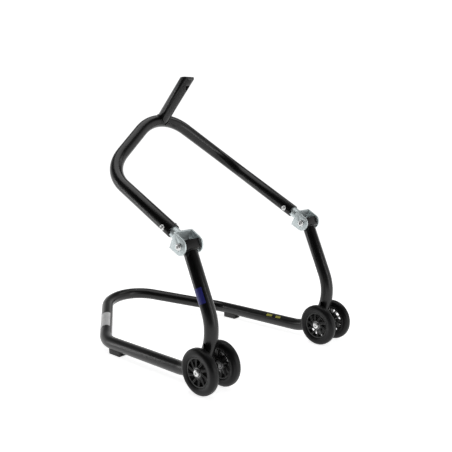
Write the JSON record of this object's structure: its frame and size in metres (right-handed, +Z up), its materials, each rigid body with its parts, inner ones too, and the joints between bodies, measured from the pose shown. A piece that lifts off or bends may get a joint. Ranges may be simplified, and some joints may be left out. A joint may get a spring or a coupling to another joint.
{
  "type": "paddock stand",
  "caption": "Front head-lift motorcycle stand: rolling base loop, folding telescopic upper loop on zinc yokes, and a post whose level seat takes a lifting pin.",
  "frame": {"origin": "on the ground, under the centre of the box that holds the stand", "axes": "+X across the stand, +Y from the wheels to the raised handle of the base loop, +Z up"},
  "size_m": [0.5362, 0.7224, 0.7325],
  "materials": {
    "black_paint": "satin black powder coat",
    "zinc": "bright pale blue zinc plate",
    "tyre": "satin black polyurethane",
    "core": "glossy black",
    "foot_rubber": "matt black",
    "bearing_steel": "ground steel",
    "fixings": "bright zinc plate"
  },
  "bodies": {
    "base": {"base_tube": "black_paint", "foot_left": "foot_rubber", "foot_right": "foot_rubber", "head_left": "black_paint", "head_right": "black_paint", "pivot_bolt_left": "fixings", "pivot_bush_left": "fixings", "pivot_nut_left": "fixings", "axle_sleeve_left": "black_paint", "axle_bolt_left": "fixings", "axle_nut_left": "fixings", "axle_spacer_left_left": "fixings", "axle_spacer_left_right": "fixings", "axle_washer_left_left": "fixings", "axle_washer_left_right": "fixings", "pivot_bolt_right": "fixings", "pivot_bush_right": "fixings", "pivot_nut_right": "fixings", "axle_sleeve_right": "black_paint", "axle_bolt_right": "fixings", "axle_nut_right": "fixings", "axle_spacer_right_left": "fixings", "axle_spacer_right_right": "fixings", "axle_washer_right_left": "fixings", "axle_washer_right_right": "fixings"},
    "yokes": {"yoke_left": "zinc", "yoke_right": "zinc", "stem_left": "zinc", "stem_right": "zinc"},
    "upper_frame": {"upper_tube": "black_paint", "head_post": "black_paint", "clamp_bolt_left": "fixings", "clamp_bolt_right": "fixings", "clamp_nut_left": "fixings", "clamp_nut_right": "fixings"},
    "wheel_left_outer": {"tyre_left_outer": "tyre", "core_left_outer": "core", "bearing_left_left_outer": "bearing_steel", "bearing_right_left_outer": "bearing_steel", "bearing_spacer_left_outer": "bearing_steel"},
    "wheel_left_inner": {"tyre_left_inner": "tyre", "core_left_inner": "core", "bearing_left_left_inner": "bearing_steel", "bearing_right_left_inner": "bearing_steel", "bearing_spacer_left_inner": "bearing_steel"},
    "wheel_right_inner": {"tyre_right_inner": "tyre", "core_right_inner": "core", "bearing_left_right_inner": "bearing_steel", "bearing_right_right_inner": "bearing_steel", "bearing_spacer_right_inner": "bearing_steel"},
    "wheel_right_outer": {"tyre_right_outer": "tyre", "core_right_outer": "core", "bearing_left_right_outer": "bearing_steel", "bearing_right_right_outer": "bearing_steel", "bearing_spacer_right_outer": "bearing_steel"}
  },
  "joints": [
    {"name": "fold", "type": "hinge", "parent": "base", "child": "yokes", "pos_m": [0, -0.24713, 0.3315], "axis": [1, 0, 0], "range_deg": [0, 145]},
    {"name": "extension", "type": "slide", "parent": "yokes", "child": "upper_frame", "axis": [0, 0.8796, 0.4756], "range_m": [-0.021, 0.071]},
    {"name": "roll_left_outer", "type": "hinge", "parent": "base", "child": "wheel_left_outer", "pos_m": [-0.2527, -0.30643, 0.055], "axis": [1, 0, 0], "continuous": true},
    {"name": "roll_left_inner", "type": "hinge", "parent": "base", "child": "wheel_left_inner", "pos_m": [-0.1841, -0.30643, 0.055], "axis": [1, 0, 0], "continuous": true},
    {"name": "roll_right_inner", "type": "hinge", "parent": "base", "child": "wheel_right_inner", "pos_m": [0.1841, -0.30643, 0.055], "axis": [1, 0, 0], "continuous": true},
    {"name": "roll_right_outer", "type": "hinge", "parent": "base", "child": "wheel_right_outer", "pos_m": [0.2527, -0.30643, 0.055], "axis": [1, 0, 0], "continuous": true}
  ]
}
